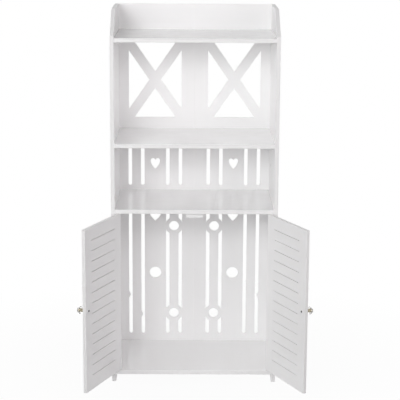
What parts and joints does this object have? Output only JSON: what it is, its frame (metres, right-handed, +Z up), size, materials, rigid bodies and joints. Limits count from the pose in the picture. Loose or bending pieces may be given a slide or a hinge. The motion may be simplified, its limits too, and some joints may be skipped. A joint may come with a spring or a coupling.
{
  "type": "bathroom cabinet",
  "caption": "Tall white free-standing bathroom cabinet with open shelves, a fretted back and a cupboard whose slitted doors swing on pivot pins.",
  "frame": {"origin": "on the floor, on the cabinet's middle plane, at the rear face of its back, where it meets the wall", "axes": "+Z up, +X to the right seen from the front, +Y to the wall, so the front faces -Y"},
  "size_m": [0.6858, 0.5133, 1.13],
  "materials": {
    "white_board": "white painted wood-plastic board, satin",
    "brass": "aged, lacquered",
    "clear_cap": "clear cut acrylic",
    "zinc_steel": "zinc plated",
    "dark_steel": "blackened",
    "white_nylon": "moulded nylon",
    "coated_steel": "white coated steel",
    "white_plastic": "moulded, satin",
    "catch_plastic": "moulded, satin",
    "ferrite": "sintered ferrite magnet"
  },
  "bodies": {
    "carcass": {"bottom_board": "white_board", "catch_housing": "catch_plastic", "catch_magnets": "ferrite", "catch_screws": "zinc_steel", "cupboard_top": "white_board", "left_back_panel": "white_board", "left_back_screws": "zinc_steel", "left_lower_bush": "white_nylon", "left_screw_caps": "white_plastic", "left_shelf_screws": "zinc_steel", "left_side_panel": "white_board", "left_upper_bush": "white_nylon", "middle_shelf": "white_board", "right_back_panel": "white_board", "right_back_screws": "zinc_steel", "right_lower_bush": "white_nylon", "right_screw_caps": "white_plastic", "right_shelf_screws": "zinc_steel", "right_side_panel": "white_board", "right_upper_bush": "white_nylon", "top_shelf": "white_board"},
    "left_door": {"left_door": "white_board", "left_knob_base": "brass", "left_knob_cap": "clear_cap", "left_knob_screw": "dark_steel", "left_upper_pin": "zinc_steel", "left_lower_pin": "zinc_steel", "left_strike": "coated_steel"},
    "right_door": {"right_door": "white_board", "right_knob_base": "brass", "right_knob_cap": "clear_cap", "right_knob_screw": "dark_steel", "right_upper_pin": "zinc_steel", "right_lower_pin": "zinc_steel", "right_strike": "coated_steel"}
  },
  "joints": [
    {"name": "left_door_hinge", "type": "hinge", "parent": "carcass", "child": "left_door", "pos_m": [-0.2287, -0.302, 0.2815], "axis": [0, 0, -1], "range_deg": [-112.9, 5.1]},
    {"name": "right_door_hinge", "type": "hinge", "parent": "carcass", "child": "right_door", "pos_m": [0.2287, -0.302, 0.2815], "axis": [0, 0, 1], "range_deg": [-114.9, 3.1]}
  ]
}
